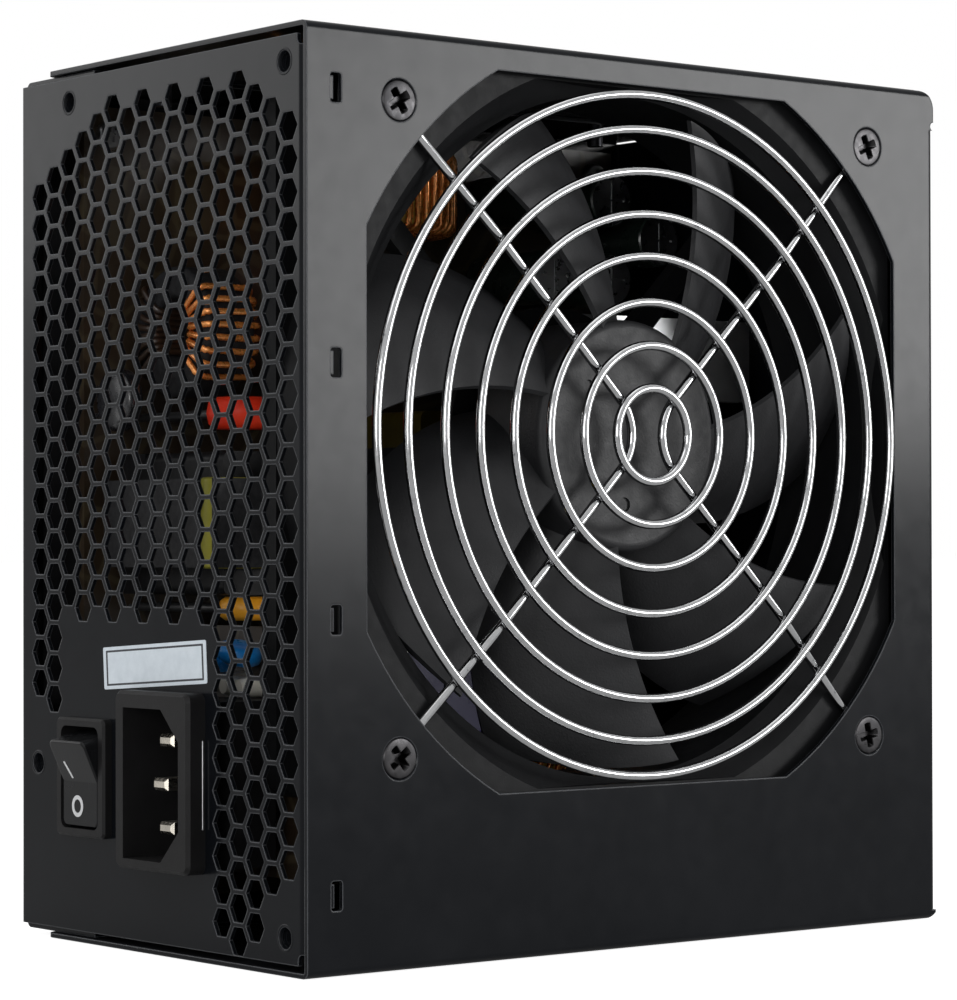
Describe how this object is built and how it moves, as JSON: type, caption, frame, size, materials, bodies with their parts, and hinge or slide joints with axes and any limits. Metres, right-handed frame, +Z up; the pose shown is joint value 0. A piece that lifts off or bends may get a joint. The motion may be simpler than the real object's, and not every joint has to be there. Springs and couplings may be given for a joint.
{
  "type": "computer power supply unit",
  "caption": "Desktop computer power supply in a folded black steel case, with a guarded cooling fan, honeycomb vent panel, mains inlet, rocker switch and modelled electronics.",
  "frame": {"origin": "middle of the underside of the casing, the narrow side that it stands on", "axes": "X from the mains panel (negative) to the cable panel (positive), Y from the fan face (negative) to the tray's floor (positive), Z up"},
  "size_m": [0.1451, 0.0882, 0.15],
  "materials": {
    "black_paint": "satin",
    "dark_steel": "satin",
    "black_plastic": "satin",
    "nickel": "polished",
    "board": "satin",
    "film_yellow": "satin",
    "disc_blue": "gloss",
    "rocker_plastic": "gloss",
    "wire_black": "matt",
    "bright_steel": "satin",
    "wire_green": "matt",
    "guard_chrome": "polished",
    "fan_plastic": "matt",
    "shaft_steel": "polished",
    "lamination": "satin",
    "magnet": "matt",
    "bearing_bronze": "satin",
    "copper_wire": "gloss",
    "fine_board": "satin",
    "standoff_brass": "satin",
    "insulation": "satin",
    "ferrite": "matt",
    "tape_yellow": "satin",
    "fuse_glass": "clear",
    "disc_red": "gloss",
    "package_black": "matt",
    "can_blue": "gloss",
    "heatsink_aluminium": "satin",
    "tape_red": "satin",
    "core_yellow": "satin",
    "can_dark": "gloss"
  },
  "bodies": {
    "unit": {"base_tray": "black_paint", "cover": "black_paint", "cover_screws": "dark_steel", "cable_grommet": "black_plastic", "inlet_body": "black_plastic", "inlet_pins": "nickel", "filter_board": "board", "x_capacitor": "film_yellow", "y_capacitors": "disc_blue", "switch_frame": "black_plastic", "switch_terminals": "nickel", "mains_wires": "wire_black", "earth_lug": "nickel", "earth_screw": "bright_steel", "earth_wire": "wire_green", "fan_screws": "bright_steel", "fan_guard": "guard_chrome", "fan_frame": "fan_plastic", "bearing_sleeve": "bearing_bronze", "stator_core": "lamination", "stator_coils": "copper_wire", "motor_circuit_board": "fine_board", "circuit_board": "board", "board_standoffs": "standoff_brass", "board_screws": "bright_steel", "insulation_sheet": "insulation", "line_choke_core": "ferrite", "line_choke_winding": "copper_wire", "pfc_choke_core": "ferrite", "pfc_choke_winding": "tape_yellow", "fuse": "fuse_glass", "varistor": "disc_red", "bridge_rectifier": "package_black", "bulk_capacitors": "can_blue", "primary_heatsink": "heatsink_aluminium", "power_transistors": "package_black", "main_transformer_core": "ferrite", "main_transformer_winding": "tape_yellow", "driver_transformer_core": "ferrite", "driver_transformer_winding": "tape_red", "standby_transformer_core": "ferrite", "standby_transformer_winding": "tape_yellow", "secondary_heatsink": "heatsink_aluminium", "rectifiers": "package_black", "output_choke_core": "core_yellow", "output_choke_winding": "copper_wire", "filter_choke_core": "core_yellow", "filter_choke_winding": "copper_wire", "output_capacitors": "can_dark", "small_capacitors": "can_dark", "control_board": "fine_board"},
    "fan": {"fan_rotor": "fan_plastic", "rotor_shaft": "shaft_steel", "motor_yoke": "lamination", "magnet_ring": "magnet"},
    "rocker": {"rocker": "rocker_plastic"}
  },
  "joints": [
    {"name": "fan_spin", "type": "hinge", "parent": "unit", "child": "fan", "pos_m": [0.0007, -0.028, 0.0862], "axis": [0, -1, 0], "continuous": true},
    {"name": "rocker_tilt", "type": "hinge", "parent": "unit", "child": "rocker", "pos_m": [-0.068, 0.021, 0.0283], "axis": [0, 1, 0], "range_deg": [0, 24]}
  ]
}
